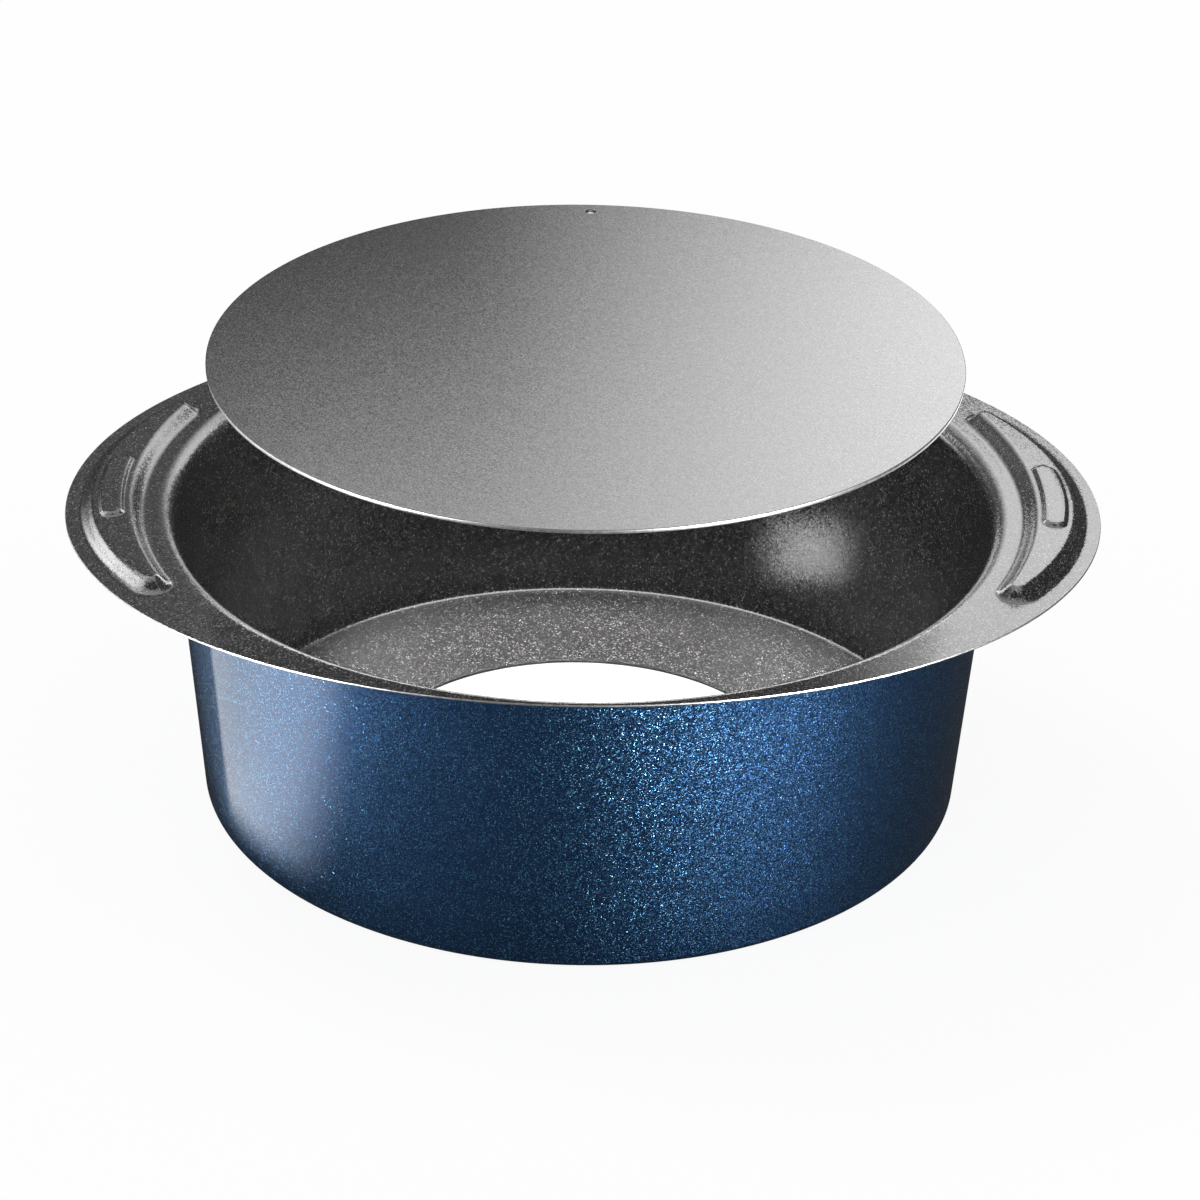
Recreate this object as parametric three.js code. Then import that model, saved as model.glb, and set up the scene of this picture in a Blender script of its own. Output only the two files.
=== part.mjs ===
// A round loose-based cake tin: a tin drawn from one steel sheet, whose floor is a ledge round a
// large hole, and a flat base that rests on the ledge and lifts out with the cake.
// Millimetres, +Z up. The origin is the middle of the tin on the surface that it stands on, and
// its two ears lie along X. The base is shown lifted out, level above the mouth.
import * as THREE from "three";

const { clamp, degToRad, lerp } = THREE.MathUtils;

// The drawn tin
const MOUTH_DIAMETER = 200; // inside, where the lines of wall and rim would cross
const FLOOR_DIAMETER = 187.2; // inside, where the lines of wall and floor would cross
const TIN_HEIGHT = 76.2; // up to where the lines of wall and rim would cross
const SHEET = 0.6;
const FLOOR_HOLE_DIAMETER = 107.6;
const FLOOR_CORNER_RADIUS = 1.5; // on the inside of the tin
const LIP_RADIUS = 2.4; // on the upper face, where the wall turns out into the rim

// The rim, an ellipse that reaches out into the two ears
const RIM_LAND = 0.5; // flat rim beyond the lip at the front and the back
const EAR_REACH = 24; // how much further the rim stands out at the ears
const RIM_DROOP = degToRad(3.9); // fall of the rim, away from the mouth

// The crescent that is pressed up in each ear to stiffen it
const CRESCENT_LIP_GAP = 5.4; // from the lip to the crescent's inner foot
const CRESCENT_EDGE_GAP = 3.7; // from the crescent's outer foot to the tip of the ear
const CRESCENT_OUTER_RADIUS = 76; // of the outer edge of its top
const CRESCENT_LENGTH = 97.4; // of its top, along the inner edge
const CRESCENT_END_RADIUS = 2; // of the rounding at the ends of its top
const CRESCENT_HEIGHT = 2.8;
const CRESCENT_SLOPE = 3; // width of its sloping sides, seen from above

// The bare plaque that stands up from each crescent
const PLAQUE_LENGTH = 31.4; // of its top, along the ear
const PLAQUE_GAP = 1.4; // from the plaque's foot to the edges of the crescent's top
const PLAQUE_CORNER_RADIUS = 1.8;
const PLAQUE_HEIGHT = 0.9;
const PLAQUE_SLOPE = 0.8;

// The loose base
const BASE_THICKNESS = 1;
const BASE_CLEARANCE = 0.6; // between its edge and the foot of the floor corner
const BASE_EDGE_BEVEL = 0.2;
const BASE_LIFT = 113.2; // of its underside, from the ledge
const HANGING_HOLE_DIAMETER = 2.6;
const HANGING_HOLE_INSET = 4.3; // of the hole's middle, from the base's edge
const HANGING_HOLE_BEARING = degToRad(89); // from +X, as the base is held

// Fineness of the facets
const BEND_STEPS = 4;
const EAR_STEP = degToRad(3);
const RIM_STEP = degToRad(5);
const STATION_GAP = 0.2; // least distance between two stations across the rim
const RIM_STATIONS = 10; // across the rim, from the lip
const PLAQUE_STRIPS = 5; // across the top of the crescent
const END_STEPS = 3; // down the end of the crescent
const BASE_SEGMENTS = 48; // in half of the base's edge
const HOLE_SEGMENTS = 24;

const mouthRadius = MOUTH_DIAMETER / 2;
const floorRadius = FLOOR_DIAMETER / 2;
const wallHeading = Math.atan2(TIN_HEIGHT - SHEET, mouthRadius - floorRadius);

// The sheet's upper face is followed outwards from the floor hole as a row of stations in the
// radial plane. A station is a place and the heading of the face there, and the sheet lies on
// its right-hand side.
function intoSheet({ r, z, heading }, depth) {
  return { r: r + depth * Math.sin(heading), z: z - depth * Math.cos(heading) };
}

// The stations of a round bend that stands in for a corner between two headings.
function bend(cornerRadius, cornerHeight, from, to, radius) {
  const turn = Math.sign(to - from);
  const setback = radius * Math.tan(Math.abs(to - from) / 2);
  const centreRadius = cornerRadius - setback * Math.cos(from) - turn * radius * Math.sin(from);
  const centreHeight = cornerHeight - setback * Math.sin(from) + turn * radius * Math.cos(from);
  return Array.from({ length: BEND_STEPS + 1 }, (_, step) => {
    const heading = lerp(from, to, step / BEND_STEPS);
    return {
      r: centreRadius + turn * radius * Math.sin(heading),
      z: centreHeight - turn * radius * Math.cos(heading),
      heading,
    };
  });
}

const holeEdge = { r: FLOOR_HOLE_DIAMETER / 2, z: SHEET, heading: 0 };
const floorCorner = bend(floorRadius, SHEET, 0, wallHeading, FLOOR_CORNER_RADIUS);
const lip = bend(mouthRadius, TIN_HEIGHT, wallHeading, -RIM_DROOP, LIP_RADIUS);
const bowl = [holeEdge, ...floorCorner, ...lip];

const lipRadius = lip.at(-1).r;
const rimHalfWidth = lipRadius + RIM_LAND;
const rimHalfLength = rimHalfWidth + EAR_REACH;

function rimRadius(angle) {
  const across = rimHalfWidth * Math.cos(angle);
  const along = rimHalfLength * Math.sin(angle);
  return (rimHalfLength * rimHalfWidth) / Math.hypot(across, along);
}

// The top of the crescent lies between an arc about the tin's axis and a tighter outer arc.
const crescentTopInner = lipRadius + CRESCENT_LIP_GAP + CRESCENT_SLOPE;
const crescentTopOuter = rimHalfLength - CRESCENT_EDGE_GAP - CRESCENT_SLOPE;
const outerArcCentre = crescentTopOuter - CRESCENT_OUTER_RADIUS;

// Distance from the axis to the crescent's outer arc, widened by an offset, along a bearing.
function outerArcRadius(angle, offset) {
  const along = outerArcCentre * Math.abs(Math.cos(angle));
  const aside = outerArcCentre * Math.sin(angle);
  const reach = CRESCENT_OUTER_RADIUS + offset;
  return along + Math.sqrt(Math.max(reach * reach - aside * aside, 0));
}

// Bearing from the middle of the nearest ear.
function earBearing(angle) {
  return Math.atan2(Math.abs(Math.sin(angle)), Math.abs(Math.cos(angle)));
}

// Distance from a long field with round corners, nothing on the field itself.
function distanceOutside(beyondEnd, beyondSide, cornerRadius) {
  const along = Math.max(beyondEnd + cornerRadius, 0);
  const across = Math.max(beyondSide + cornerRadius, 0);
  return Math.max(Math.hypot(along, across) - cornerRadius, 0);
}

// The plaque keeps its gap to both edges of the crescent's top.
const plaqueInset = PLAQUE_GAP + PLAQUE_SLOPE;
const plaqueRadius = (crescentTopInner + crescentTopOuter) / 2;

// Height of a form at a distance outside its flat top, where its sides slope down evenly.
function slopingSide(height, slope, distance) {
  return height * clamp(1 - distance / slope, 0, 1);
}

function crescentHeight(radius, angle) {
  const x = radius * Math.abs(Math.cos(angle));
  const y = radius * Math.sin(angle);
  const beyondEnd = earBearing(angle) * crescentTopInner - CRESCENT_LENGTH / 2;
  const beyondInner = crescentTopInner - radius;
  const beyondOuter = Math.hypot(x - outerArcCentre, y) - CRESCENT_OUTER_RADIUS;
  const beyondSide = Math.max(beyondInner, beyondOuter);
  const outside = distanceOutside(beyondEnd, beyondSide, CRESCENT_END_RADIUS);
  return slopingSide(CRESCENT_HEIGHT, CRESCENT_SLOPE, outside);
}

function plaqueHeight(radius, angle) {
  const beyondEnd = earBearing(angle) * plaqueRadius - PLAQUE_LENGTH / 2;
  const beyondInner = crescentTopInner + plaqueInset - radius;
  const beyondOuter = radius - outerArcRadius(angle, 0) + plaqueInset;
  const beyondSide = Math.max(beyondInner, beyondOuter);
  const outside = distanceOutside(beyondEnd, beyondSide, PLAQUE_CORNER_RADIUS);
  return slopingSide(PLAQUE_HEIGHT, PLAQUE_SLOPE, outside);
}

// Radii of the stations across the rim: the edges of the crescent and of its plaque, which draw
// together towards the crescent's ends and where the rim narrows, and then the rim's own edge.
function rimStationRadii(angle) {
  const edge = rimRadius(angle);
  const gap = Math.min(STATION_GAP, (edge - lipRadius) / RIM_STATIONS);
  const topOuter = Math.max(outerArcRadius(angle, 0), crescentTopInner + PLAQUE_STRIPS * gap);
  const strip = (topOuter - crescentTopInner) / PLAQUE_STRIPS;
  const footStep = Math.min(PLAQUE_GAP, strip);
  const topStep = Math.min(plaqueInset, 2 * strip);
  const radii = [
    crescentTopInner - CRESCENT_SLOPE,
    crescentTopInner,
    crescentTopInner + footStep,
    crescentTopInner + topStep,
    topOuter - topStep,
    topOuter - footStep,
    topOuter,
    Math.max(outerArcRadius(angle, CRESCENT_SLOPE), topOuter + gap),
    edge,
  ];
  for (let i = radii.length - 2; i >= 0; i--) {
    radii[i] = Math.min(radii[i], radii[i + 1] - gap);
  }
  return radii;
}

function rimStations(angle) {
  return rimStationRadii(angle).map((r) => ({
    r,
    z:
      TIN_HEIGHT -
      (r - mouthRadius) * Math.tan(RIM_DROOP) +
      crescentHeight(r, angle) +
      plaqueHeight(r, angle),
    heading: -RIM_DROOP,
  }));
}

// The closed outline of the sheet in the radial plane at one bearing: along its upper face to
// the edge of the rim, and back along its lower face to the hole.
function sheetSection(angle) {
  const stations = [...bowl, ...rimStations(angle)];
  const upper = stations.map((station) => intoSheet(station, 0));
  const lower = stations.map((station) => intoSheet(station, SHEET)).reverse();
  return [...upper, ...lower].map(
    ({ r, z }) => new THREE.Vector3(r * Math.cos(angle), r * Math.sin(angle), z),
  );
}

// Bearings from the middle of an ear to the front of the tin, with one at each edge of the
// plaque and of the crescent's end.
function quarterAngles() {
  const endStart = (CRESCENT_LENGTH / 2 - CRESCENT_END_RADIUS) / crescentTopInner;
  const endFoot = (CRESCENT_LENGTH / 2 + CRESCENT_SLOPE) / crescentTopInner;
  const stretches = [
    { end: (PLAQUE_LENGTH / 2 - PLAQUE_CORNER_RADIUS) / plaqueRadius, step: EAR_STEP },
    { end: PLAQUE_LENGTH / 2 / plaqueRadius, step: EAR_STEP },
    { end: (PLAQUE_LENGTH / 2 + PLAQUE_SLOPE) / plaqueRadius, step: EAR_STEP },
    { end: endStart, step: EAR_STEP },
    { end: CRESCENT_LENGTH / 2 / crescentTopInner, step: EAR_STEP },
    { end: endFoot, step: CRESCENT_SLOPE / END_STEPS / crescentTopInner },
    { end: Math.PI / 2, step: RIM_STEP },
  ].sort((a, b) => a.end - b.end);
  const angles = [0];
  for (const { end, step } of stretches) {
    const start = angles.at(-1);
    const count = Math.max(Math.ceil((end - start) / step), 1);
    for (let i = 1; i <= count; i++) {
      angles.push(lerp(start, end, i / count));
    }
  }
  return angles;
}

// A full turn of bearings, with the quarter mirrored about both axes.
function turnAngles() {
  const quarter = quarterAngles();
  const half = [...quarter, ...quarter.slice(0, -1).reverse().map((angle) => Math.PI - angle)];
  return [...half, ...half.slice(1, -1).map((angle) => angle + Math.PI)];
}

// A ring-shaped solid through closed outlines with as many points each.
function loftRing(outlines) {
  const count = outlines[0].length;
  const corners = [];
  outlines.forEach((_, i) => {
    const here = i * count;
    const there = ((i + 1) % outlines.length) * count;
    for (let j = 0; j < count; j++) {
      const k = (j + 1) % count;
      corners.push(here + j, here + k, there + k, here + j, there + k, there + j);
    }
  });
  const solid = new THREE.BufferGeometry().setFromPoints(outlines.flat());
  solid.setIndex(corners);
  solid.computeVertexNormals();
  return solid;
}

function tinBody() {
  const blueCoat = new THREE.MeshStandardMaterial({
    color: 0x1c3f7a,
    metalness: 0.6,
    roughness: 0.3,
  });
  const body = new THREE.Mesh(loftRing(turnAngles().map(sheetSection)), blueCoat);
  body.name = "tin_body";
  return body;
}

function looseBase() {
  const radius = floorCorner[0].r - BASE_CLEARANCE;
  const holeDistance = radius - HANGING_HOLE_INSET;
  const hole = new THREE.EllipseCurve(
    holeDistance * Math.cos(HANGING_HOLE_BEARING),
    holeDistance * Math.sin(HANGING_HOLE_BEARING),
    HANGING_HOLE_DIAMETER / 2,
    HANGING_HOLE_DIAMETER / 2,
  );
  const disc = new THREE.Shape().absarc(0, 0, radius, 0, 2 * Math.PI);
  disc.holes.push(new THREE.Path(hole.getPoints(HOLE_SEGMENTS)));
  const plate = new THREE.ExtrudeGeometry(disc, {
    depth: BASE_THICKNESS - 2 * BASE_EDGE_BEVEL,
    bevelThickness: BASE_EDGE_BEVEL,
    bevelSize: BASE_EDGE_BEVEL,
    bevelOffset: -BASE_EDGE_BEVEL,
    bevelSegments: 1,
    curveSegments: BASE_SEGMENTS,
  });
  plate.translate(0, 0, BASE_EDGE_BEVEL);
  const greyCoat = new THREE.MeshStandardMaterial({
    color: 0x8f9093,
    metalness: 0.5,
    roughness: 0.45,
  });
  const base = new THREE.Mesh(plate, greyCoat);
  base.name = "loose_base";
  base.position.z = SHEET + BASE_LIFT;
  return base;
}

const cakeTin = new THREE.Group();
cakeTin.add(tinBody(), looseBase());

export default cakeTin;
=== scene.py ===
"""A loose-based cake tin with its base lifted out, on a pale floor.

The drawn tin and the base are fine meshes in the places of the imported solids. Metres, +Z up.
"""

from itertools import accumulate, pairwise
from math import cos, pi, radians, sin
from typing import NamedTuple

import bmesh
import bpy
from mathutils import Matrix, Vector


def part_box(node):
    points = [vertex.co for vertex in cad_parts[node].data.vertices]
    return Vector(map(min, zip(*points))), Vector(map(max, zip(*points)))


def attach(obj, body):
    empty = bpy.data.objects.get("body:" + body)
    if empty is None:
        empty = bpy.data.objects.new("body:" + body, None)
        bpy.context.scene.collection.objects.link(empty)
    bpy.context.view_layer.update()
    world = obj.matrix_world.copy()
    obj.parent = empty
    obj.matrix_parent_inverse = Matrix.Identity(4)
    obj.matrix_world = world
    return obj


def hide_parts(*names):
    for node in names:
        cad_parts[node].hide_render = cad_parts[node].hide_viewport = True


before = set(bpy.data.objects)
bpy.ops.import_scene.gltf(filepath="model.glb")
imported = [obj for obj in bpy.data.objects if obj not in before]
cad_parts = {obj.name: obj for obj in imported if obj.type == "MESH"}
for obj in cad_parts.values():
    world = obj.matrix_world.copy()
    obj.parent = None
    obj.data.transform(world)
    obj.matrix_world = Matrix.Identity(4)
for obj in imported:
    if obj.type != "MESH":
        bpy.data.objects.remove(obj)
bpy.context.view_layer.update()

MM = 0.001
tin_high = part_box("tin_body")[1]
base_low, base_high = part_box("loose_base")

# The drawn tin. Its radii and heights are those of the sheet's upper, inner face.
TIN_SIZES = {
    "Sheet": 0.6 * MM,
    "Hole radius": 53.8 * MM,
    "Floor radius": 93.6 * MM,  # where the lines of wall and floor would cross
    "Mouth radius": 100 * MM,  # where the lines of wall and rim would cross
    "Height": 76.2 * MM,
    "Corner radius": 1.5 * MM,
    "Ear lip radius": 4.5 * MM,
    "Side lip radius": 2.4 * MM,
    "Rim half length": tin_high.x,
    "Rim half width": tin_high.y,
    "Rim droop": radians(3.9),
    "Cut rounding": 0.15 * MM,
    "Crescent lip gap": 3.35 * MM,  # from the lip to the crescent's inner foot
    "Crescent edge gap": 3.7 * MM,  # from its outer foot to the tip of the ear
    "Crescent outer radius": 76 * MM,
    "Crescent length": 97.4 * MM,  # of its top, along the inner edge
    "Crescent end radius": 2 * MM,
    "Crescent height": 2.8 * MM,
    "Crescent slope": 3 * MM,
    "Crescent softness": 0.7 * MM,  # rounding of its edges, to both sides
    "Plaque length": 31.4 * MM,
    "Plaque gap": 1.4 * MM,  # from its foot to the edges of the crescent's top
    "Plaque corner radius": 1.8 * MM,
    "Plaque height": 0.9 * MM,
    "Plaque slope": 0.8 * MM,
    "Plaque softness": 0.2 * MM,
}
EAR_LIP_END = radians(35)  # bearings from the ear's middle, between which the lip gets tighter
SIDE_LIP_START = radians(80)
SHARP_ANGLE = radians(50)  # between two faces, past which their edge isn't shaded smooth

# Steps of the tin's mesh, along its section and round a quarter of it
FLOOR_STEPS = 4
CORNER_STEPS = 8
WALL_STEPS = 6
LIP_STEPS = 14
BOWL_STEPS = (FLOOR_STEPS, CORNER_STEPS, WALL_STEPS, LIP_STEPS)
RIM_STEPS = (3, 8, 1, 4, 4, 4, 1, 8, 3)
FACE_STEPS = sum(BOWL_STEPS) + sum(RIM_STEPS)  # from the hole to the rim's edge
EDGE_STEPS = 3  # round each cut edge
SECTION_STEPS = 2 * (FACE_STEPS + EDGE_STEPS)  # over both faces and both cut edges
QUARTER_STEPS = (12, 12, 20, 12, 34)
QUARTER = sum(QUARTER_STEPS)
STATION_GAP = 0.2 * MM  # least distance between two lines of the rim, where it is wide enough
MERGE_DISTANCE = 0.0005 * MM
UPPER_FACE_DEPTH = 0.01  # depth into the sheet, from 0 to 1, up to which it is the inner face
LOWER_FACE_DEPTH = 0.99  # and from which it is the outer one

# The loose base
BASE_ROUNDING = 0.2 * MM
BASE_ROUNDING_STEPS = 2
BASE_ARC_STEPS = 64  # in a quarter of its outline
HANGING_HOLE_RADIUS = 1.3 * MM
HANGING_HOLE_INSET = 4.3 * MM
HANGING_HOLE_BEARING = radians(89)
CIRCLE_ARCS = 4
CIRCLE_HANDLE = 0.5522847  # share of the radius, for handles that make the four arcs round
FLAT_FACE = 0.99  # upright share of a normal, from which the face lies flat
EDGE_FACE = 0.5  # and under which it belongs to an edge

# The camera, as found from the outlines in the photograph
CAMERA_TARGET = Vector((4.48, 0, 47.83)) * MM
CAMERA_DISTANCE = 1139.5 * MM
CAMERA_AZIMUTH = radians(-0.9)
CAMERA_ELEVATION = radians(28.29)
CAMERA_ROLL = radians(1.08)
FOCAL_LENGTH_PIXELS = 4587.7
PHOTO_PIXELS = 1200
SENSOR_WIDTH = 36  # in millimetres, as the lens is
CLIP_START = 0.05
CLIP_END = 50


def place(tree, kind, values=None, **settings):
    """Adds a node. A value is a number, a colour or a vector for an input, or what feeds it."""
    node = tree.nodes.new(kind)
    for name, setting in settings.items():
        setattr(node, name, setting)
    for name, value in (values or {}).items():
        feed(tree, node.inputs[name], value)
    return node


def feed(tree, entry, value):
    """Links a socket or a quantity to an input, or sets the input to a plain value."""
    source = value.socket if isinstance(value, Quantity) else value
    if isinstance(source, bpy.types.NodeSocket):
        tree.links.new(source, entry)
    else:
        entry.default_value = source


def put_in_scene(name, data):
    """A new object with a mesh, a curve, a lamp or a camera."""
    item = bpy.data.objects.new(name, data)
    bpy.context.scene.collection.objects.link(item)
    return item


def settled_mesh(name, maker):
    """A plain mesh of what an object's curve or modifier makes. The object itself is removed."""
    evaluated = maker.evaluated_get(bpy.context.evaluated_depsgraph_get())
    mesh = bpy.data.meshes.new_from_object(evaluated)
    mesh.name = name
    bpy.data.objects.remove(maker)
    return mesh


class Quantity:
    """A number in a geometry tree, to be combined with others as in a formula."""

    def __init__(self, tree, socket):
        self.tree = tree
        self.socket = socket

    def by(self, operation, *terms):
        """What an operation makes of its terms, which are quantities or plain numbers."""
        node = place(self.tree, "ShaderNodeMath", operation=operation)
        for entry, term in zip(node.inputs, terms):
            feed(self.tree, entry, term)
        return Quantity(self.tree, node.outputs[0])

    def __add__(self, other):
        return self.by("ADD", self, other)

    def __radd__(self, other):
        return self.by("ADD", other, self)

    def __sub__(self, other):
        return self.by("SUBTRACT", self, other)

    def __rsub__(self, other):
        return self.by("SUBTRACT", other, self)

    def __mul__(self, other):
        return self.by("MULTIPLY", self, other)

    def __rmul__(self, other):
        return self.by("MULTIPLY", other, self)

    def __truediv__(self, other):
        return self.by("DIVIDE", self, other)

    def __gt__(self, other):
        return self.by("GREATER_THAN", self, other)

    def __lt__(self, other):
        return self.by("LESS_THAN", self, other)

    def sine(self):
        return self.by("SINE", self)

    def cosine(self):
        return self.by("COSINE", self)

    def tangent(self):
        return self.by("TANGENT", self)

    def root(self):
        return self.by("SQRT", self)

    def size(self):
        return self.by("ABSOLUTE", self)

    def remainder(self, whole):
        return self.by("MODULO", self, whole)

    def at_least(self, other):
        return self.by("MAXIMUM", self, other)

    def at_most(self, other):
        return self.by("MINIMUM", self, other)

    def over(self, base):
        """The angle whose tangent is this over the base."""
        return self.by("ARCTAN2", self, base)

    def ramp(self, start, end, interpolation="LINEAR"):
        """Runs from 0 at the start to 1 at the end, and stays at these beyond."""
        node = place(self.tree, "ShaderNodeMapRange", interpolation_type=interpolation)
        for entry, value in zip(node.inputs, (self, start, end, 0.0, 1.0)):
            feed(self.tree, entry, value)
        return Quantity(self.tree, node.outputs[0])


def length(x, y):
    """Length of the diagonal over x and y."""
    return (x * x + y * y).root()


def shares(position, steps, first=0):
    """How far the position has come on each of a row of stretches, from 0 to 1."""
    return [position.ramp(start, end) for start, end in pairwise(accumulate(steps, initial=first))]


def follow(knots, run):
    """Goes from knot to knot by the shares of the stretches between them."""
    value = knots[0]
    for (start, end), share in zip(pairwise(knots), run):
        value = value + (end - start) * share
    return value


def beyond_field(beyond_end, beyond_side, corner):
    """Distance outside a long field with round corners, below zero on the field."""
    along = beyond_end + corner
    across = beyond_side + corner
    outside = length(along.at_least(0.0), across.at_least(0.0))
    return outside + along.at_least(across).at_most(0.0) - corner


class SheetRule:
    """The form of the drawn sheet, as formulas of its sizes."""

    def __init__(self, size):
        self.size = size
        self.wall_heading = (size["Height"] - size["Sheet"]).over(
            size["Mouth radius"] - size["Floor radius"]
        )
        self.lip_turn = self.wall_heading + size["Rim droop"]
        self.corner_setback = size["Corner radius"] * (self.wall_heading / 2).tangent()
        self.slope = size["Crescent slope"]
        ear_lip_end = self.lip_end(size["Ear lip radius"])
        self.inner_arc = ear_lip_end + size["Crescent lip gap"] + self.slope
        self.outer_reach = size["Rim half length"] - size["Crescent edge gap"] - self.slope
        self.outer_centre = self.outer_reach - size["Crescent outer radius"]
        self.plaque_inset = size["Plaque gap"] + size["Plaque slope"]
        self.plaque_radius = (self.inner_arc + self.outer_reach) / 2

    def around(self, turn_step):
        """A bearing within the quarter, and the sides of the x and y axes that it lies on."""
        from_ear = ((turn_step + QUARTER).remainder(2 * QUARTER) - QUARTER).size()
        bearing = follow(self.quarter_bearings(), shares(from_ear, QUARTER_STEPS))
        side_x = 1 - 2 * (turn_step > QUARTER) * (turn_step < 3 * QUARTER)
        side_y = 1 - 2 * (turn_step > 2 * QUARTER)
        return bearing, side_x, side_y

    def quarter_bearings(self):
        """Bearings from the middle of an ear to the front, closest at the ends of the forms."""
        size = self.size
        half_plaque = size["Plaque length"] / 2
        flat_end = half_plaque - size["Plaque corner radius"] - size["Plaque softness"]
        foot_end = half_plaque + size["Plaque slope"] + size["Plaque softness"]
        half_crescent = size["Crescent length"] / 2
        end_start = half_crescent - size["Crescent end radius"] - size["Crescent softness"]
        end_foot = half_crescent + self.slope + size["Crescent softness"]
        return [
            0.0,
            flat_end / self.plaque_radius,
            foot_end / self.plaque_radius,
            end_start / self.inner_arc,
            end_foot / self.inner_arc,
            pi / 2,
        ]

    def along_section(self, section_step):
        """The station on the upper face, the depth into the sheet, from 0 to 1, and how far a cut
        edge swells out there."""
        return_start = FACE_STEPS + EDGE_STEPS
        station = section_step.at_most(return_start + FACE_STEPS - section_step)
        station = station.at_least(0.0).at_most(FACE_STEPS)
        depth = section_step.ramp(FACE_STEPS, return_start)
        depth = depth - section_step.ramp(return_start + FACE_STEPS, SECTION_STEPS)
        at_rim = 2 * (section_step < SECTION_STEPS / 2) - 1
        swell = (depth * pi).sine() * at_rim * self.size["Cut rounding"]
        return station, depth, swell

    def lip_radius(self, bearing):
        """The lip is rounder at the ears than at the front and back."""
        at_ear, at_side = self.size["Ear lip radius"], self.size["Side lip radius"]
        return at_ear + (at_side - at_ear) * bearing.ramp(EAR_LIP_END, SIDE_LIP_START, "SMOOTHSTEP")

    def lip_setback(self, lip_radius):
        """From the crossing of the wall's and the rim's lines to either end of the lip."""
        return lip_radius * (self.lip_turn / 2).tangent()

    def lip_end(self, lip_radius):
        """Distance from the axis at which the lip runs out into the rim."""
        setback = self.lip_setback(lip_radius)
        return self.size["Mouth radius"] + setback * self.size["Rim droop"].cosine()

    def bowl(self, station, lip_radius):
        """Radius, height and heading of the bowl, as a walk along its straights and bends."""
        size = self.size
        wall_heading = self.wall_heading
        bends_setback = self.corner_setback + self.lip_setback(lip_radius)
        on_floor, on_corner, on_wall, on_lip = shares(station, BOWL_STEPS)
        corner_heading = wall_heading * on_corner
        lip_heading = wall_heading - self.lip_turn * on_lip
        heading = corner_heading + lip_heading - wall_heading
        hole_edge = size["Hole radius"] + size["Cut rounding"]
        floor_run = size["Floor radius"] - self.corner_setback - hole_edge
        wall_rise = size["Height"] - size["Sheet"]
        wall_rise = wall_rise - bends_setback * wall_heading.sine()
        wall_spread = size["Mouth radius"] - size["Floor radius"]
        wall_spread = wall_spread - bends_setback * wall_heading.cosine()
        radius = hole_edge + floor_run * on_floor
        radius = radius + size["Corner radius"] * corner_heading.sine()
        radius = radius + wall_spread * on_wall
        radius = radius + lip_radius * (wall_heading.sine() - lip_heading.sine())
        height = size["Sheet"] + size["Corner radius"] * (1 - corner_heading.cosine())
        height = height + wall_rise * on_wall
        height = height + lip_radius * (lip_heading.cosine() - wall_heading.cosine())
        return radius, height, heading

    def rim(self, station, bearing, lip_radius):
        """How far the rim has gone out beyond the lip, and the height pressed up there."""
        lip_end = self.lip_end(lip_radius)
        run = shares(station, RIM_STEPS, first=sum(BOWL_STEPS))
        radius = follow(self.rim_radii(bearing, lip_end), run)
        relief = self.crescent(radius, bearing) + self.plaque(radius, bearing)
        return radius - lip_end, relief

    def rim_edge(self, bearing):
        """The rim is an ellipse, held back by the rounding of its cut edge."""
        half_length, half_width = self.size["Rim half length"], self.size["Rim half width"]
        across = half_width * bearing.cosine()
        along = half_length * bearing.sine()
        return half_length * half_width / length(across, along) - self.size["Cut rounding"]

    def outer_arc(self, bearing, offset):
        """Distance from the axis to the crescent's outer arc, widened by an offset."""
        along = self.outer_centre * bearing.cosine()
        aside = self.outer_centre * bearing.sine()
        reach = self.size["Crescent outer radius"] + offset
        return along + (reach * reach - aside * aside).at_least(0.0).root()

    def rim_radii(self, bearing, lip_end):
        """Radii of the lines across the rim, at the edges of the crescent and its plaque."""
        size = self.size
        soft = size["Crescent softness"]
        plaque_soft = size["Plaque softness"]
        edge = self.rim_edge(bearing)
        gap = ((edge - lip_end) / (len(RIM_STEPS) + 1)).at_most(STATION_GAP)
        inner_top = self.inner_arc + soft
        stretches_on_top = 5
        outer_top = (self.outer_arc(bearing, 0.0) - soft).at_least(inner_top + stretches_on_top * gap)
        strip = (outer_top - inner_top) / stretches_on_top
        foot = (size["Plaque gap"] - soft - plaque_soft).at_most(strip)
        top = (self.plaque_inset - soft + plaque_soft).at_most(2 * strip)
        outer_foot = (self.outer_arc(bearing, self.slope) + soft).at_least(outer_top + gap)
        lines = [
            lip_end,
            self.inner_arc - self.slope - soft,
            inner_top,
            inner_top + foot,
            inner_top + top,
            outer_top - top,
            outer_top - foot,
            outer_top,
            outer_foot,
            edge,
        ]
        last = len(lines) - 1
        return lines[:1] + [
            line.at_most(edge - (last - number) * gap)
            for number, line in enumerate(lines[1:], start=1)
        ]

    def crescent(self, radius, bearing):
        """Height of the crescent, between an arc about the axis and a tighter outer arc."""
        x, y = radius * bearing.cosine(), radius * bearing.sine()
        beyond_end = bearing * self.inner_arc - self.size["Crescent length"] / 2
        beyond_inner = self.inner_arc - radius
        beyond_outer = length(x - self.outer_centre, y) - self.size["Crescent outer radius"]
        corner = self.size["Crescent end radius"]
        outside = beyond_field(beyond_end, beyond_inner.at_least(beyond_outer), corner)
        return self.raised("Crescent", outside)

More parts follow.
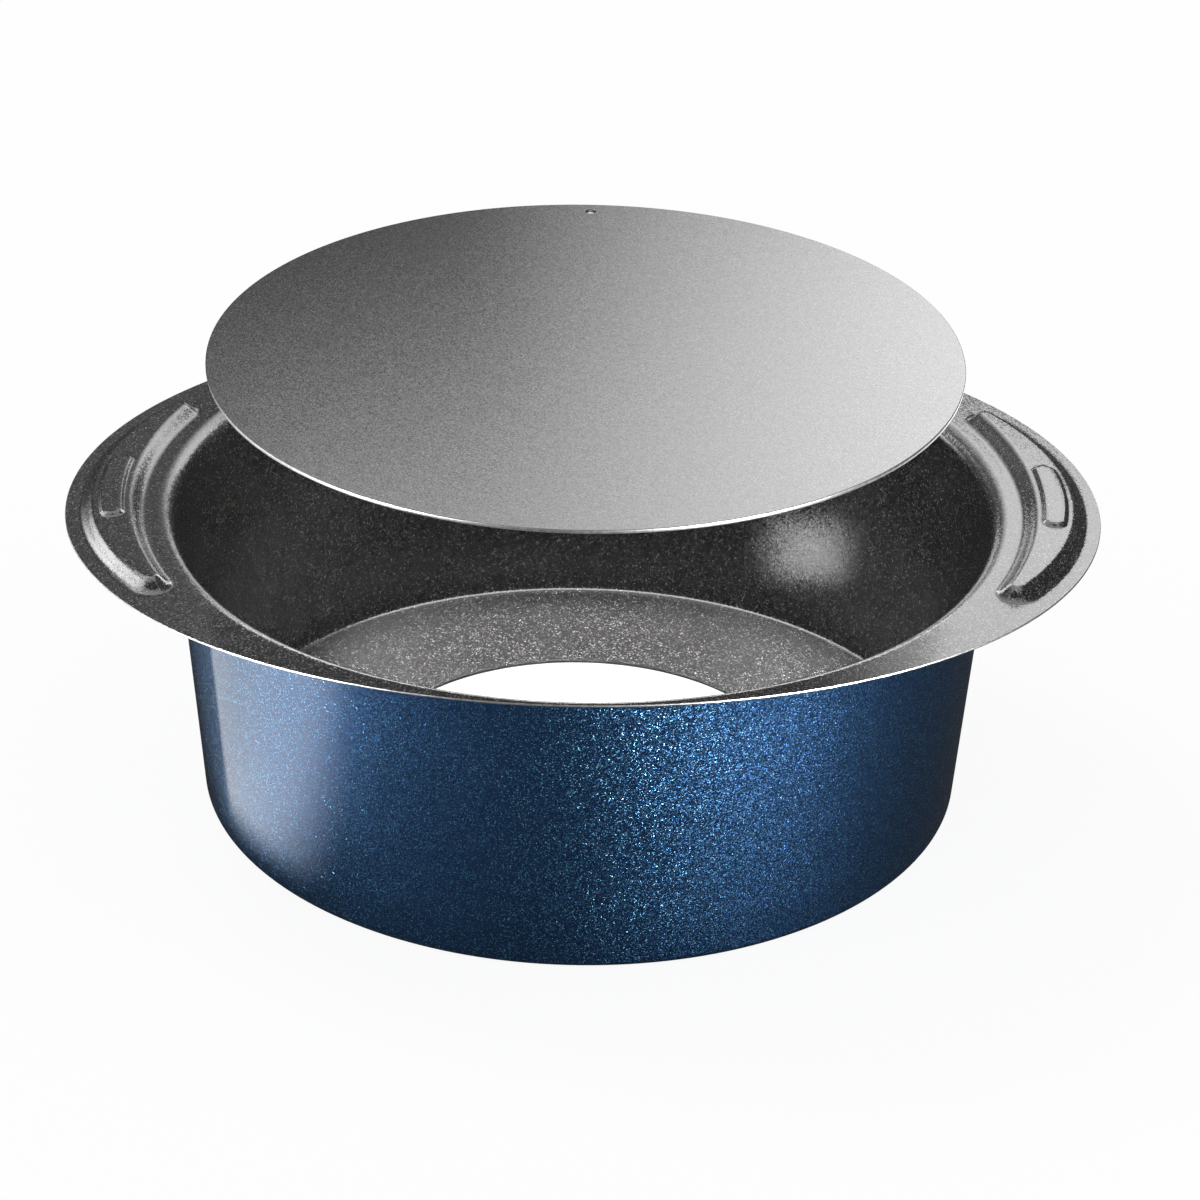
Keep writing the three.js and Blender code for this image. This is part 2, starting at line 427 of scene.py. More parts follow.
    def plaque(self, radius, bearing):
        """Height of the plaque, which keeps its gap to both arcs of the crescent's top."""
        beyond_end = bearing * self.plaque_radius - self.size["Plaque length"] / 2
        beyond_inner = self.inner_arc + self.plaque_inset - radius
        beyond_outer = radius - self.outer_arc(bearing, 0.0) + self.plaque_inset
        corner = self.size["Plaque corner radius"]
        outside = beyond_field(beyond_end, beyond_inner.at_least(beyond_outer), corner)
        return self.raised("Plaque", outside)

    def raised(self, form, outside):
        """Height of a form at a distance outside its flat top. Its sides fall off softly."""
        soft = self.size[form + " softness"]
        fall = outside.ramp(0 - soft, self.size[form + " slope"] + soft, "SMOOTHSTEP")
        return self.size[form + " height"] * (1 - fall)


def size_inputs(tree, sizes):
    """Gives the tree a named input for each size."""
    for name, size in sizes.items():
        entry = tree.interface.new_socket(name, in_out="INPUT", socket_type="NodeSocketFloat")
        entry.default_value = size
    given = place(tree, "NodeGroupInput")
    return {name: Quantity(tree, given.outputs[name]) for name in sizes}


def flat_grid(tree):
    """A grid with a line at each step, and a point's steps along the section and round the tin."""
    values = {
        "Size X": SECTION_STEPS,
        "Size Y": 4 * QUARTER,
        "Vertices X": SECTION_STEPS + 1,
        "Vertices Y": 4 * QUARTER + 1,
    }
    grid = place(tree, "GeometryNodeMeshGrid", values)
    flat = place(tree, "GeometryNodeInputPosition").outputs["Position"]
    parts = place(tree, "ShaderNodeSeparateXYZ", {"Vector": flat})
    section_step = Quantity(tree, parts.outputs["X"]) + SECTION_STEPS / 2
    turn_step = Quantity(tree, parts.outputs["Y"]) + 2 * QUARTER
    return grid.outputs["Mesh"], section_step, turn_step


def worked(tree, kind, geometry, values=None, **settings):
    """Passes a geometry through a node."""
    node = place(tree, kind, {"Geometry": geometry, **(values or {})}, **settings)
    return node.outputs["Geometry"]


def drawn_sheet_tree(inside_coat, outside_coat, cut_edge):
    """A geometry tree that bends a flat grid into the tin: its lines in one direction follow
    the section along the upper face and back along the lower one, and in the other go round."""
    tree = bpy.data.node_groups.new("drawn sheet", "GeometryNodeTree")
    size = size_inputs(tree, TIN_SIZES)
    tree.interface.new_socket("Tin", in_out="OUTPUT", socket_type="NodeSocketGeometry")
    rule = SheetRule(size)
    sheet, section_step, turn_step = flat_grid(tree)
    bearing, side_x, side_y = rule.around(turn_step)
    station, depth, swell = rule.along_section(section_step)
    lip_radius = rule.lip_radius(bearing)
    radius, height, heading = rule.bowl(station, lip_radius)
    beyond_lip, relief = rule.rim(station, bearing, lip_radius)
    radius = radius + beyond_lip
    height = height - beyond_lip * size["Rim droop"].tangent() + relief

    # Into the sheet, and out at the rounded cut edges
    inward = depth * size["Sheet"]
    radius = radius + inward * heading.sine() + swell * heading.cosine()
    height = height - inward * heading.cosine() + swell * heading.sine()
    x = radius * bearing.cosine() * side_x
    y = radius * bearing.sine() * side_y
    bent = place(tree, "ShaderNodeCombineXYZ", {"X": x, "Y": y, "Z": height}).outputs["Vector"]

    mark = {"Name": "depth", "Value": depth}
    sheet = worked(
        tree, "GeometryNodeStoreNamedAttribute", sheet, mark, data_type="FLOAT", domain="POINT"
    )
    sheet = worked(tree, "GeometryNodeSetPosition", sheet, {"Position": bent})
    sheet = worked(tree, "GeometryNodeMergeByDistance", sheet, {"Distance": MERGE_DISTANCE})
    sheet = worked(tree, "GeometryNodeSetShadeSmooth", sheet)
    sheet = worked(tree, "GeometryNodeRealizeInstances", sheet)
    marks = place(tree, "GeometryNodeInputNamedAttribute", {"Name": "depth"}, data_type="FLOAT")
    face_depth = Quantity(tree, marks.outputs["Attribute"])
    for coat in (
        {"Material": cut_edge},
        {"Material": inside_coat, "Selection": face_depth < UPPER_FACE_DEPTH},
        {"Material": outside_coat, "Selection": face_depth > LOWER_FACE_DEPTH},
    ):
        sheet = worked(tree, "GeometryNodeSetMaterial", sheet, coat)
    place(tree, "NodeGroupOutput", {"Tin": sheet})
    return tree


def make_tin(inside_coat, outside_coat, cut_edge):
    """The drawn tin, grown by its tree from the sizes."""
    tree = drawn_sheet_tree(inside_coat, outside_coat, cut_edge)
    seed = put_in_scene("drawn_tin_seed", bpy.data.meshes.new("drawn_tin_seed"))
    growth = seed.modifiers.new("form", "NODES")
    growth.node_group = tree
    for entry in tree.interface.items_tree:
        if entry.in_out == "INPUT":
            growth[entry.identifier] = TIN_SIZES[entry.name]
    mesh = settled_mesh("drawn_tin", seed)
    mesh.set_sharp_from_angle(angle=SHARP_ANGLE)
    return put_in_scene("drawn_tin", mesh)


def add_circle(curve, centre_x, centre_y, radius):
    """A round spline of four arcs."""
    handle = CIRCLE_HANDLE * radius
    spline = curve.splines.new("BEZIER")
    spline.bezier_points.add(CIRCLE_ARCS - 1)
    spline.use_cyclic_u = True
    centre = Vector((centre_x, centre_y, 0))
    for number, point in enumerate(spline.bezier_points):
        bearing = 2 * pi * number / CIRCLE_ARCS
        outward = Vector((cos(bearing), sin(bearing), 0))
        along = Vector((-sin(bearing), cos(bearing), 0))
        point.co = centre + radius * outward
        point.handle_left = point.co - handle * along
        point.handle_right = point.co + handle * along


def base_outline(radius, hole_distance):
    """The disc and its hanging hole as a filled curve with rounded edges."""
    outline = bpy.data.curves.new("base_outline", "CURVE")
    outline.dimensions = "2D"
    outline.fill_mode = "BOTH"
    outline.resolution_u = BASE_ARC_STEPS
    outline.extrude = (base_high.z - base_low.z) / 2 - BASE_ROUNDING
    outline.bevel_depth = BASE_ROUNDING
    outline.bevel_resolution = BASE_ROUNDING_STEPS
    outline.offset = -BASE_ROUNDING
    add_circle(outline, 0, 0, radius)
    add_circle(
        outline,
        hole_distance * cos(HANGING_HOLE_BEARING),
        hole_distance * sin(HANGING_HOLE_BEARING),
        HANGING_HOLE_RADIUS,
    )
    return outline


def make_base(coat, cut_edge):
    """The flat disc with its hanging hole. Its faces and the hole's wall are coated, and its rim
    is bare."""
    radius = base_high.x
    hole_distance = radius - HANGING_HOLE_INSET
    drawing = put_in_scene("base_outline", base_outline(radius, hole_distance))
    mesh = settled_mesh("base_disc", drawing)
    form = bmesh.new()
    form.from_mesh(mesh)
    bmesh.ops.remove_doubles(form, verts=form.verts, dist=MERGE_DISTANCE)
    bmesh.ops.recalc_face_normals(form, faces=form.faces)
    form.to_mesh(mesh)
    form.free()
    mesh.transform(Matrix.Translation((0, 0, (base_low.z + base_high.z) / 2)))
    mesh.materials.clear()
    mesh.materials.append(coat)
    mesh.materials.append(cut_edge)
    for face in mesh.polygons:
        upright = abs(face.normal.z)
        on_rim = face.center.xy.length > hole_distance + HANGING_HOLE_RADIUS
        face.use_smooth = upright < FLAT_FACE
        face.material_index = 1 if on_rim and upright < EDGE_FACE else 0
    return put_in_scene("base_disc", mesh)


def new_material(name):
    """A material with its node tree and its shader."""
    material = bpy.data.materials.new(name)
    material.use_nodes = True
    return material, material.node_tree, material.node_tree.nodes["Principled BSDF"]


def surface_place(tree):
    """Where a point of a surface lies, from its object's origin."""
    return place(tree, "ShaderNodeTexCoord").outputs["Object"]


def vector_math(tree, operation, values, result="Vector"):
    """What an operation makes of one or two vectors."""
    return place(tree, "ShaderNodeVectorMath", values, operation=operation).outputs[result]


def grey(level):
    """A neutral colour."""
    return (level, level, level)


def colour_ramp(tree, factor, stops):
    """Colours along a factor. A stop is a place from 0 to 1 and a colour."""
    node = place(tree, "ShaderNodeValToRGB", {"Fac": factor})
    ramp = node.color_ramp
    while len(ramp.elements) < len(stops):
        ramp.elements.new(1.0)
    for element, (position, colour) in zip(ramp.elements, stops):
        element.position = position
        element.color = (*colour, 1)
    return node.outputs["Color"]


def tilted_normal(tree, chance, amount):
    """The surface's normal, tilted from grain to grain by a random colour."""
    off_middle = vector_math(tree, "SUBTRACT", {0: chance, 1: grey(0.5)})
    tilt = vector_math(tree, "SCALE", {0: off_middle, "Scale": amount})
    normal = place(tree, "ShaderNodeNewGeometry").outputs["Normal"]
    tilted = vector_math(tree, "ADD", {0: normal, 1: tilt})
    return vector_math(tree, "NORMALIZE", {0: tilted})


def grained_finish(name, grain_size, channel, shades, finish, tilt=None):
    """A finish of fine grains. Each has a random colour, of which one channel picks its shade."""
    material, tree, shader = new_material(name)
    values = {"Vector": surface_place(tree), "Scale": 1 / grain_size}
    chance = place(tree, "ShaderNodeTexVoronoi", values).outputs["Color"]
    channels = place(tree, "ShaderNodeSeparateColor", {"Color": chance}).outputs
    feed(tree, shader.inputs["Base Color"], colour_ramp(tree, channels[channel], shades))
    if tilt is not None:
        feed(tree, shader.inputs["Normal"], tilted_normal(tree, chance, tilt))
    for socket, value in finish.items():
        shader.inputs[socket].default_value = value
    return material


def metallic_blue():
    """Clear lacquer over blue with fine bright flakes, on the outside of the tin."""
    return grained_finish(
        "metallic blue lacquer",
        grain_size=0.19 * MM,
        channel="Red",
        shades=[
            (0.0, (0.015, 0.048, 0.13)),
            (0.6, (0.023, 0.073, 0.19)),
            (0.9, (0.042, 0.15, 0.34)),
            (1.0, (0.26, 0.70, 1.0)),
        ],
        finish={
            "Metallic": 0.85,
            "Roughness": 0.3,
            "Coat Weight": 1.0,
            "Coat Roughness": 0.06,
            "Coat IOR": 1.5,
        },
        tilt=0.5,
    )


def charcoal_nonstick():
    """Glossy dark coat with fine light specks, inside the tin and on its rim."""
    return grained_finish(
        "charcoal non-stick",
        grain_size=0.32 * MM,
        channel="Green",
        shades=[
            (0.0, grey(0.010)),
            (0.5, grey(0.020)),
            (0.85, grey(0.060)),
            (0.97, grey(0.15)),
            (1.0, grey(0.33)),
        ],
        finish={"Roughness": 0.18, "IOR": 1.75},
        tilt=0.1,
    )


def grey_satin():
    """Satin grey coat of the loose base, with fine grain."""
    return grained_finish(
        "grey satin",
        grain_size=0.26 * MM,
        channel="Blue",
        shades=[(0.0, grey(0.137)), (0.8, grey(0.17)), (1.0, grey(0.217))],
        finish={"Metallic": 0.9, "Roughness": 0.2},
        tilt=0.08,
    )


def bare_steel():
    """The bright edge where the sheet was cut."""
    return grained_finish(
        "bare cut steel",
        grain_size=0.8 * MM,
        channel="Red",
        shades=[(0.0, (0.52, 0.52, 0.53)), (1.0, (0.78, 0.78, 0.79))],
        finish={"Metallic": 1.0, "Roughness": 0.3},
    )


# The floor and the light of the studio
FLOOR_HALF_SIZE = 12.0
FLOOR_GAP = 0.1 * MM  # just under the tin, so that the two faces don't lie in one plane
FLOOR_COLOUR = (0.92, 0.92, 0.92, 1)
FLOOR_LIFT = 0.92  # share of plain white in the floor as it is seen
FILL_STRENGTH = 0.75
SEEN_STRENGTH = 1.0  # plain white
WHITE = (1, 1, 1, 1)


def product(tree, first, second):
    """Two factors multiplied."""
    return place(tree, "ShaderNodeMath", {0: first, 1: second}, operation="MULTIPLY").outputs[0]


def blend(tree, share, low, high):
    """Runs from a low value to a high one, as a share runs from 0 to 1."""
    values = {0: share, "To Min": low, "To Max": high}
    return place(tree, "ShaderNodeMapRange", values).outputs[0]


def seen_rays(tree):
    """1 for what the camera sees, also in a mirror or through glass, and 0 for other light."""
    path = place(tree, "ShaderNodeLightPath")
    seen = path.outputs["Is Camera Ray"]
    for kind in ("Is Glossy Ray", "Is Transmission Ray"):
        either = {0: seen, 1: path.outputs[kind]}
        seen = place(tree, "ShaderNodeMath", either, operation="MAXIMUM").outputs[0]
    return seen


def level_corners(left, right, front, back, height):
    """Corners of a level rectangle."""
    return [
        (left, front, height),
        (right, front, height),
        (right, back, height),
        (left, back, height),
    ]


def stage_sheet(name, corners, material, faces=None):
    """A sheet of the stage. Where no faces are given, its corners make up one."""
    mesh = bpy.data.meshes.new(name)
    mesh.from_pydata(corners, [], faces or [tuple(range(len(corners)))])
    mesh.materials.append(material)
    sheet = put_in_scene(name, mesh)
    return sheet


def make_floor():
    """The pale floor, which keeps the part's shadow."""
    material, tree, shader = new_material("pale floor")
    shader.inputs["Base Color"].default_value = FLOOR_COLOUR
    shader.inputs["Roughness"].default_value = 1.0
    shader.inputs["Specular IOR Level"].default_value = 0.0
    white = place(tree, "ShaderNodeEmission").outputs["Emission"]
    lift = product(tree, seen_rays(tree), FLOOR_LIFT)
    lifted = place(tree, "ShaderNodeMixShader", {0: lift, 1: shader.outputs["BSDF"], 2: white})
    feed(tree, tree.nodes["Material Output"].inputs["Surface"], lifted.outputs["Shader"])
    half = FLOOR_HALF_SIZE
    stage_sheet("floor", level_corners(-half, half, -half, half, -FLOOR_GAP), material)


def make_world():
    """Even light from all sides, and a white background."""
    world = bpy.data.worlds.new("studio")
    world.use_nodes = True
    tree = world.node_tree
    background = tree.nodes["Background"]
    background.inputs["Color"].default_value = WHITE
    strength = blend(tree, seen_rays(tree), FILL_STRENGTH, SEEN_STRENGTH)
    feed(tree, background.inputs["Strength"], strength)
    bpy.context.scene.world = world


def towards(bearing, elevation):
    """A direction from the tin. The bearing is counted from the camera's side to the left."""
    level = cos(elevation)
    return Vector((-level * sin(bearing), -level * cos(bearing), sin(elevation)))


class SoftSide(NamedTuple):
    """A soft edge of a glow, across the plane through its middle."""

    middle: Vector
    direction: Vector
    softness: float
    interpolation: str = "SMOOTHSTEP"


def past(tree, side):
    """Runs from 0 to 1 across a soft side, in its direction."""
    offset = vector_math(
        tree, "DOT_PRODUCT", {0: surface_place(tree), 1: side.direction}, result="Value"
    )
    level = side.middle.dot(side.direction)
    values = {0: offset, 1: level - side.softness / 2, 2: level + side.softness / 2}
    node = place(tree, "ShaderNodeMapRange", values, interpolation_type=side.interpolation)
    return node.outputs[0]


def between(tree, first, second):
    """1 where two soft sides overlap, and 0 elsewhere."""
    return product(tree, past(tree, first), past(tree, second))


def glow_card(name, corners, strength, faces=None):
    """A glowing card that is seen in the tin's coats alone, as a painted reflection. It gives no
    light and no shadow. Its strength is even, or a rule that shades it by the place."""
    material, tree, shader = new_material(name)
    tree.nodes.remove(shader)
    level = strength(tree) if callable(strength) else strength
    glow = place(tree, "ShaderNodeEmission", {"Strength": level})
    feed(tree, tree.nodes["Material Output"].inputs["Surface"], glow.outputs["Emission"])
    card = stage_sheet(name, corners, material, faces)
    card.visible_camera = False
    card.visible_diffuse = False
    card.visible_shadow = False


ROUND_CARD_SIDES = 64


def round_corners(radius, height):
    """Corners of a level, round card about the axis."""
    bearings = [2 * pi * side / ROUND_CARD_SIDES for side in range(ROUND_CARD_SIDES)]
    return [(radius * cos(bearing), radius * sin(bearing), height) for bearing in bearings]


BACK_CARD_DISTANCE = 0.5


def back_card(name, left, right, bottom, top, strength):
    """An upright card behind the tin, square to the camera's side."""
    sides = ((left, bottom), (right, bottom), (right, top), (left, top))
    glow_card(name, [(x, BACK_CARD_DISTANCE, z) for x, z in sides], strength)


ROOM_HALF_WIDTH = 1.5
ROOM_FRONT = -1.6
ROOM_BACK = 0.75
ROOM_HEIGHT = 1.3
ROOM_GLOW = 0.07


def make_room_card():
    """The dim walls and ceiling of the studio."""
    ground, ceiling = (
        level_corners(-ROOM_HALF_WIDTH, ROOM_HALF_WIDTH, ROOM_FRONT, ROOM_BACK, height)
        for height in (0, ROOM_HEIGHT)
    )
    count = len(ground)
    walls = [
        (first, (first + 1) % count, (first + 1) % count + count, first + count)
        for first in range(count)
    ]
    top = tuple(range(count, 2 * count))
    glow_card("room_card", ground + ceiling, ROOM_GLOW, faces=walls + [top])


PANEL_LEFT = -0.15
PANEL_RIGHT = 0.38
PANEL_BOTTOM = 0.25
PANEL_TOP = 0.62
PANEL_DIM = 0.12
PANEL_GLOW = 3.9
PANEL_RIGHT_SIDE = SoftSide(Vector((0.058, 0, 0)), Vector((1, 0, 0)), 0.18, "LINEAR")
PANEL_UPPER_SIDE = SoftSide(Vector((0, 0, 0.37)), Vector((0.33, 0, 0.944)), 0.132, "LINEAR")
PANEL_UPPER_SHARE = 0.54


def panel_glow(tree):
    """Brighter to the right, and where it isn't bright yet, also upwards."""
    upper = product(tree, past(tree, PANEL_UPPER_SIDE), PANEL_UPPER_SHARE)
    level = blend(tree, past(tree, PANEL_RIGHT_SIDE), upper, 1.0)
    return blend(tree, level, PANEL_DIM, PANEL_GLOW)


def make_panel_card():
    """A bright panel behind the tin, to the right."""
    back_card("panel_card", PANEL_LEFT, PANEL_RIGHT, PANEL_BOTTOM, PANEL_TOP, panel_glow)


LEFT_CARD_LEFT = -0.36
LEFT_CARD_BOTTOM = 0.2
LEFT_CARD_TOP = 0.5
LEFT_CARD_GLOW = 0.28


def make_left_card():
    """A dim panel beside the bright one, which the flat parts of the left ear show."""
    back_card(
        "left_card", LEFT_CARD_LEFT, PANEL_LEFT, LEFT_CARD_BOTTOM, LEFT_CARD_TOP, LEFT_CARD_GLOW
    )


LOW_CARD_LEFT = -0.075
LOW_CARD_RIGHT = 0.06
LOW_CARD_BOTTOM = 0.08
LOW_CARD_TOP = 0.2
LOW_CARD_GLOW = 1.8


def make_low_card():
    """A low panel that shows in the lip beside the left ear."""
    back_card(
        "low_card", LOW_CARD_LEFT, LOW_CARD_RIGHT, LOW_CARD_BOTTOM, LOW_CARD_TOP, LOW_CARD_GLOW
    )


# A painted reflection under the lifted base, which gives no light
UNDER_CARD_RADIUS = 93 * MM
UNDER_CARD_GAP = 1 * MM
UNDER_DIM = 0.15
UNDER_RIGHT_GLOW = 3.4
UNDER_BAND_GLOW = 7.0
UNDER_RIGHT_SIDE = SoftSide(Vector((85, 0, 0)) * MM, Vector((1, 0, 0)), 60 * MM)
UNDER_BAND_FRONT = SoftSide(Vector((0, 14, 0)) * MM, Vector((0, 1, 0)), 12 * MM)
UNDER_BAND_BACK = SoftSide(Vector((0, 82, 0)) * MM, Vector((0, -1, 0)), 14 * MM)


def painted_under_reflection(tree):
    """A painted reflection, brighter to the right, with a bright band across that paints a highlight
    along the front lip.
    """
    beside = blend(tree, past(tree, UNDER_RIGHT_SIDE), UNDER_DIM, UNDER_RIGHT_GLOW)
    return blend(tree, between(tree, UNDER_BAND_FRONT, UNDER_BAND_BACK), beside, UNDER_BAND_GLOW)


def make_under_card():
    """A round glowing panel close under the lifted base: a painted reflection that the rim shows in
    place of the base's underside.
    """
    corners = round_corners(UNDER_CARD_RADIUS, base_low.z - UNDER_CARD_GAP)
    glow_card("under_card", corners, painted_under_reflection)


EAR_FRONT = Vector((-115, -36, 77)) * MM
SLOPE_CARD_BEARING = radians(125)
SLOPE_CARD_ELEVATION = radians(22)
SLOPE_CARD_DISTANCE = 0.5
SLOPE_CARD_SLANT = radians(38)
SLOPE_CARD_HALF_LENGTH = 0.3
SLOPE_CARD_HALF_WIDTH = 0.1
SLOPE_CARD_SOFTNESS = 0.1
SLOPE_CARD_FADE = 0.26
SLOPE_CARD_FADE_INSET = 0.15
SLOPE_CARD_DIM = 0.3
SLOPE_CARD_GLOW = 8.5


def make_slope_card():
    """A slanted strip behind the left ear that its crescent's outer slope shows, as a painted
    highlight.
    """
    direction = towards(SLOPE_CARD_BEARING, SLOPE_CARD_ELEVATION)
    side = Vector((0, 0, 1)).cross(direction).normalized()
    rise = direction.cross(side).normalized()
    middle = EAR_FRONT + direction * SLOPE_CARD_DISTANCE
    along = cos(SLOPE_CARD_SLANT) * side + sin(SLOPE_CARD_SLANT) * rise
    across = cos(SLOPE_CARD_SLANT) * rise - sin(SLOPE_CARD_SLANT) * side
    reach = along * SLOPE_CARD_HALF_LENGTH
    spread = across * SLOPE_CARD_HALF_WIDTH
    lower, upper = middle - spread, middle + spread
    inset = across * SLOPE_CARD_SOFTNESS / 2
    lower_side = SoftSide(lower + inset, across, SLOPE_CARD_SOFTNESS)
    upper_side = SoftSide(upper - inset, -across, SLOPE_CARD_SOFTNESS)
    low_end = SoftSide(middle - along * SLOPE_CARD_FADE_INSET, along, SLOPE_CARD_FADE)

    def strip_glow(tree):
        """Brightest along the middle of the strip, and dim at its low end."""
        brightest = blend(tree, past(tree, low_end), SLOPE_CARD_DIM, SLOPE_CARD_GLOW)
        return product(tree, between(tree, lower_side, upper_side), brightest)

    corners = [lower - reach, lower + reach, upper + reach, upper - reach]
    glow_card("slope_card", corners, strip_glow)


OVERHEAD_HEIGHT = 0.9
OVERHEAD_LEFT = -1.25
OVERHEAD_RIGHT = 0.65
OVERHEAD_FRONT = -0.36
OVERHEAD_BACK = 0.65
OVERHEAD_GLOW = 2.0
OVERHEAD_LEFT_GLOW = 6.0
OVERHEAD_LEFT_SIDE = SoftSide(Vector((-0.8, 0, 0)), Vector((-1, 0, 0)), 0.4)


def overhead_glow(tree):
    """Brighter to the left."""
    return blend(tree, past(tree, OVERHEAD_LEFT_SIDE), OVERHEAD_GLOW, OVERHEAD_LEFT_GLOW)


def make_overhead_card():
    """A panel high over the tin, and out to the left."""
    corners = level_corners(
        OVERHEAD_LEFT, OVERHEAD_RIGHT, OVERHEAD_FRONT, OVERHEAD_BACK, OVERHEAD_HEIGHT
    )
    glow_card("overhead_card", corners, overhead_glow)


# The floor as the coats show it: a glowing card with a painted bright patch and painted shadows
FLOOR_CARD_RADIUS = 1.5
FLOOR_DIM = 0.03
FLOOR_BRIGHT = 1.95
FLOOR_BRIGHT_BACK = 1.3
# Edges of the painted shadows of the ear and of the tin, and the fade of the painted bright patch
BRIGHT_BACK_EDGE = SoftSide(Vector((-119, -7, 0)) * MM, Vector((-0.71, -0.71, 0)), 4 * MM)
BRIGHT_FRONT_EDGE = SoftSide(Vector((-115, -82, 0)) * MM, Vector((-0.555, 0.83, 0)), 40 * MM)
BRIGHT_FADE = SoftSide(Vector((0, -45, 0)) * MM, Vector((0, -1, 0)), 60 * MM, "LINEAR")
PAINTED_FOOT_SHADOW_START = 96 * MM  # distances from the axis
PAINTED_FOOT_SHADOW_END = 108 * MM


def outside_painted_foot_shadow(tree):
    """Runs from 0 in the painted shadow close to the tin's foot to 1 outside it."""
    distance = vector_math(tree, "LENGTH", {0: surface_place(tree)}, result="Value")
    values = {0: distance, 1: PAINTED_FOOT_SHADOW_START, 2: PAINTED_FOOT_SHADOW_END}
    node = place(tree, "ShaderNodeMapRange", values, interpolation_type="SMOOTHSTEP")
    return node.outputs[0]


def painted_floor_reflection(tree):
    """A painted reflection of the lit floor: bright on the left, between the painted shadows of the
    ear and of the tin, and dim elsewhere.
    """
    brightest = blend(tree, past(tree, BRIGHT_FADE), FLOOR_BRIGHT_BACK, FLOOR_BRIGHT)
    lit = product(tree, between(tree, BRIGHT_BACK_EDGE, BRIGHT_FRONT_EDGE), outside_painted_foot_shadow(tree))
    return blend(tree, lit, FLOOR_DIM, brightest)


def make_floor_card():
    """A painted reflection of the floor round the tin and under its hole, with painted shadows, as
    the coats show it.
    """
    glow_card("floor_card", round_corners(FLOOR_CARD_RADIUS, -FLOOR_GAP / 2), painted_floor_reflection)


def make_cards():
    """What the coats show of the studio, as painted reflections of glowing cards."""
    make_room_card()
    make_panel_card()
    make_left_card()
    make_low_card()
    make_under_card()
    make_slope_card()
    make_overhead_card()
    make_floor_card()


def add_lamp(name, kind, location, aim, **settings):
    """A lamp that shines from its location at its aim."""
    lamp = bpy.data.lights.new(name, kind)
    for setting, value in settings.items():
        setattr(lamp, setting, value)
    holder = put_in_scene(name, lamp)
    holder.location = location
    holder.rotation_euler = (location - aim).to_track_quat("Z", "Y").to_euler()
    holder.visible_camera = False
    return holder


AXIS_FOOT = Vector((0, 0, 0))
KEY_DIRECTION = towards(bearing=radians(136), elevation=radians(52))
KEY_ANGLE = radians(20)
KEY_STRENGTH = 0.8


def make_key_lamp():
    """Soft sunlight from behind, to the left."""
    add_lamp("key", "SUN", KEY_DIRECTION, AXIS_FOOT, energy=KEY_STRENGTH, angle=KEY_ANGLE)


WALL_LAMP_ELEVATION = radians(3)
WALL_LAMP_HEIGHT = 0.04
WALL_LAMP_AIM = Vector((0, 0, 100)) * MM


def wall_lamp(name, bearing, distance, width, energy, spread):
    """A low, level strip lamp that only glossy coats show, as a sheen on the wall."""
    add_lamp(
        name,
        "AREA",
        distance * towards(bearing, WALL_LAMP_ELEVATION),
        WALL_LAMP_AIM,
        energy=energy,
        shape="RECTANGLE",
        size=width,
        size_y=WALL_LAMP_HEIGHT,
        spread=spread,
    ).visible_diffuse = False


def make_wall_lamps():
    """One lamp for either side of the wall."""
    wall_lamp(
        "left_lamp", bearing=radians(54), distance=0.9, width=0.25, energy=0.27, spread=radians(24)
    )
    wall_lamp(
        "right_lamp", bearing=radians(-42), distance=1.0, width=0.12, energy=0.6, spread=radians(20)
    )


UNDER_LAMP_PLACE = Vector((0, 0, 110)) * MM
UNDER_LAMP_WIDTH = 174 * MM
UNDER_LAMP_SPREAD = radians(16)
UNDER_LAMP_ENERGY = 0.36


def make_under_lamp():
    """A round lamp under the lifted base, for the ledge and for the floor in the hole. It shows in
    no coat."""
    add_lamp(
        "under_lamp",
        "AREA",
        UNDER_LAMP_PLACE,
        AXIS_FOOT,
        energy=UNDER_LAMP_ENERGY,
        shape="DISK",
        size=UNDER_LAMP_WIDTH,
        spread=UNDER_LAMP_SPREAD,
    ).visible_glossy = False


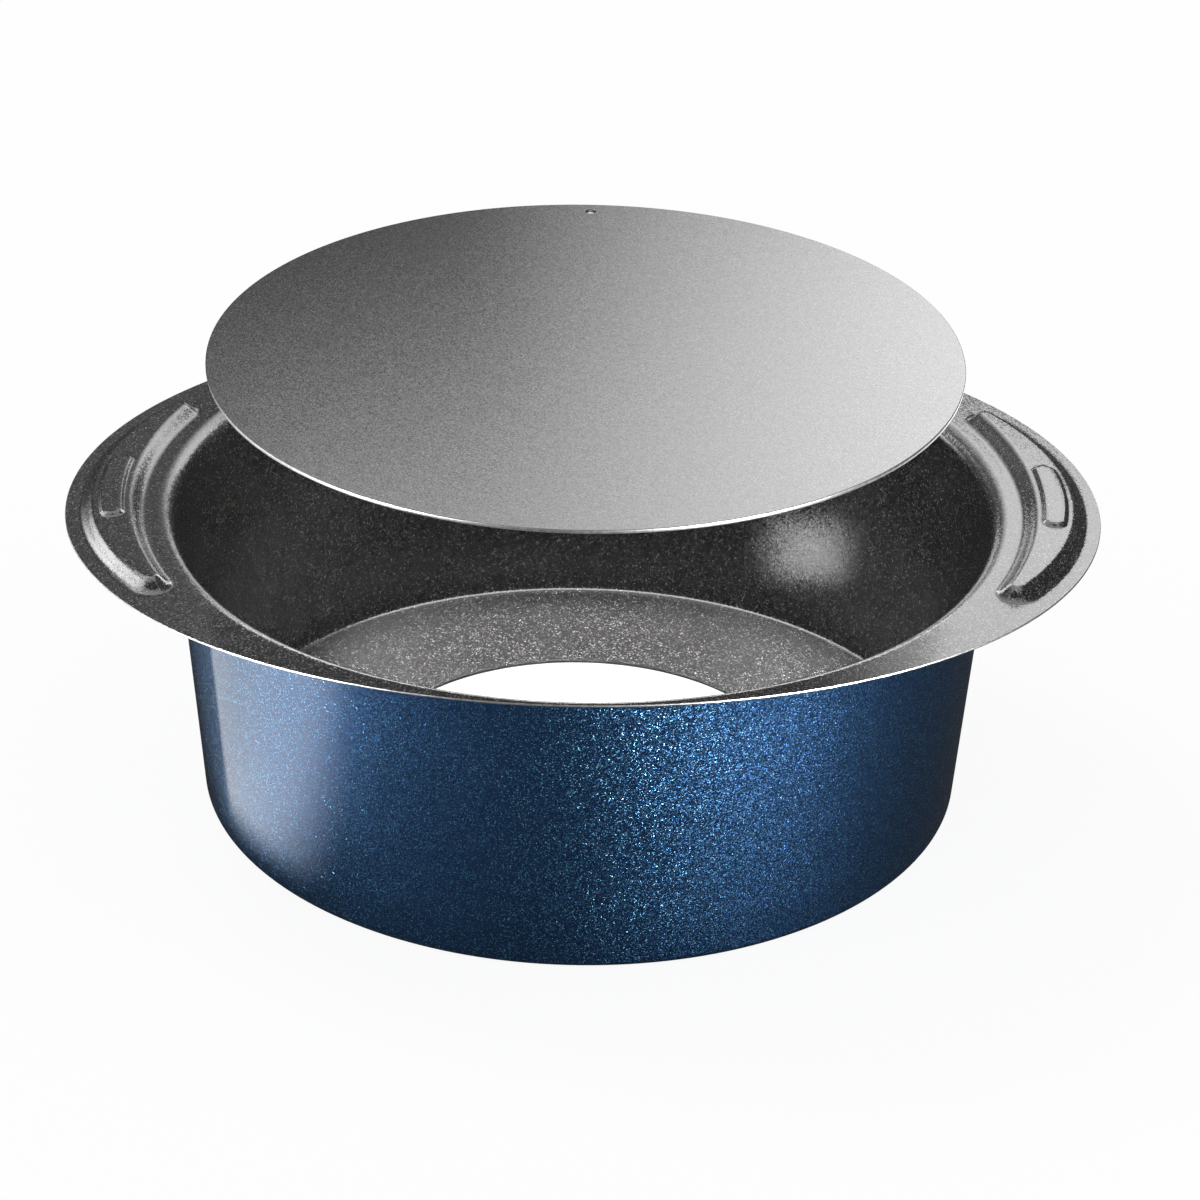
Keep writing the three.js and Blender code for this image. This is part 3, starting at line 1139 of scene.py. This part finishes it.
GLOW_PLACE = Vector((59, 75, 25)) * MM  # on the wall inside, to the right
GLOW_LAMP_PLACE = Vector((22, 64, 9)) * MM
GLOW_LAMP_RADIUS = 8 * MM
GLOW_LAMP_CONE = radians(34)
GLOW_LAMP_SOFTNESS = 1.0
GLOW_LAMP_ENERGY = 0.0112


def make_glow_lamp():
    """A small spot inside the tin that leaves a soft glow in the coat of the wall."""
    add_lamp(
        "glow_lamp",
        "SPOT",
        GLOW_LAMP_PLACE,
        GLOW_PLACE,
        energy=GLOW_LAMP_ENERGY,
        spot_size=GLOW_LAMP_CONE,
        spot_blend=GLOW_LAMP_SOFTNESS,
        shadow_soft_size=GLOW_LAMP_RADIUS,
    ).visible_diffuse = False


def make_camera():
    """The camera looks along +Y and down, with a small roll, and is turned about the axis."""
    camera = bpy.data.cameras.new("camera")
    camera.sensor_width = SENSOR_WIDTH
    camera.lens = FOCAL_LENGTH_PIXELS / PHOTO_PIXELS * SENSOR_WIDTH
    camera.clip_start = CLIP_START
    camera.clip_end = CLIP_END
    forward = Vector((0, cos(CAMERA_ELEVATION), -sin(CAMERA_ELEVATION)))
    right = Vector((1, 0, 0))
    up = right.cross(forward)
    rolled_right = cos(CAMERA_ROLL) * right + sin(CAMERA_ROLL) * up
    rolled_up = cos(CAMERA_ROLL) * up - sin(CAMERA_ROLL) * right
    turn = Matrix((rolled_right, rolled_up, -forward)).transposed().to_4x4()
    turn.translation = CAMERA_TARGET - CAMERA_DISTANCE * forward
    holder = put_in_scene("camera", camera)
    holder.matrix_world = Matrix.Rotation(CAMERA_AZIMUTH, 4, "Z") @ turn
    bpy.context.scene.camera = holder


bpy.context.scene.view_settings.view_transform = "Standard"
steel = bare_steel()
tin = make_tin(charcoal_nonstick(), metallic_blue(), steel)
base = make_base(grey_satin(), steel)
make_floor()
make_world()
make_key_lamp()
make_wall_lamps()
make_under_lamp()
make_glow_lamp()
make_cards()
make_camera()

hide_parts("tin_body")
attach(tin, "tin")
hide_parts("loose_base")
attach(base, "base")
